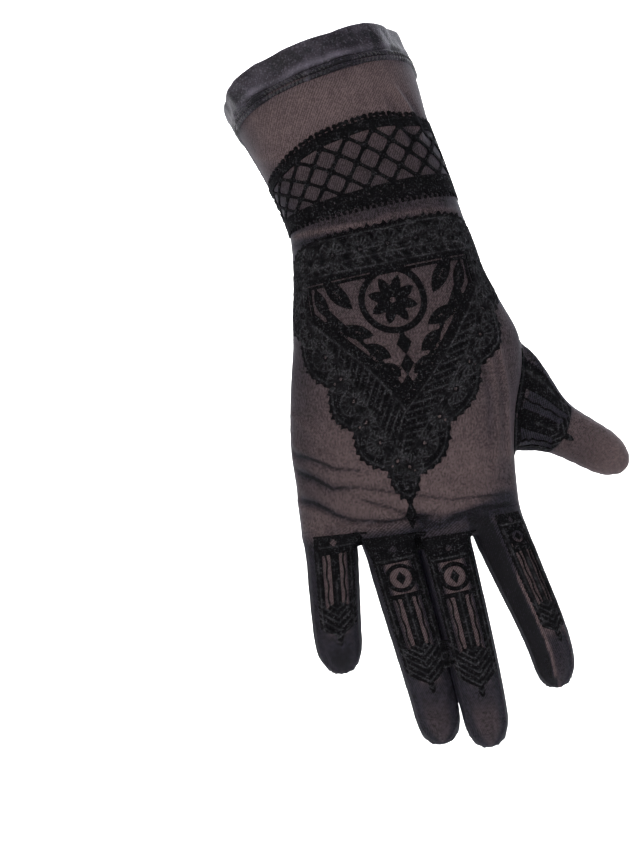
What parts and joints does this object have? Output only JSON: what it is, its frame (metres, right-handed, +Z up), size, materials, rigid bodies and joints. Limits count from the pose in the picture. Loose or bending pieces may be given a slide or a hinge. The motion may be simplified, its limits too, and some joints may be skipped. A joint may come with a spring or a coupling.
{
  "type": "mesh glove",
  "caption": "Right-hand sheer mesh dress glove with a folded cuff hem, a flocked lattice band and flocked lace trim.",
  "frame": {"origin": "centre of the cuff opening's rim, where the forearm goes in", "axes": "+Z up from the fingers to the cuff, -Y out of the back of the hand, +X towards the thumb"},
  "size_m": [0.1299, 0.0716, 0.2761],
  "materials": {
    "mesh": "sheer black stretch mesh",
    "flock": "black velvet flock",
    "hem_cloth": "folded mesh, stitched"
  },
  "bodies": {
    "root": {"hand_body": "mesh", "thumb": "mesh", "index_finger": "mesh", "middle_finger": "mesh", "ring_finger": "mesh", "little_finger": "mesh", "cuff_hem": "hem_cloth", "upper_border": "flock", "lattice_band": "flock", "lower_border": "flock", "back_panel": "flock", "thumb_trim": "flock", "index_trim": "flock", "middle_trim": "flock", "ring_trim": "flock", "little_trim": "flock"}
  },
  "joints": []
}
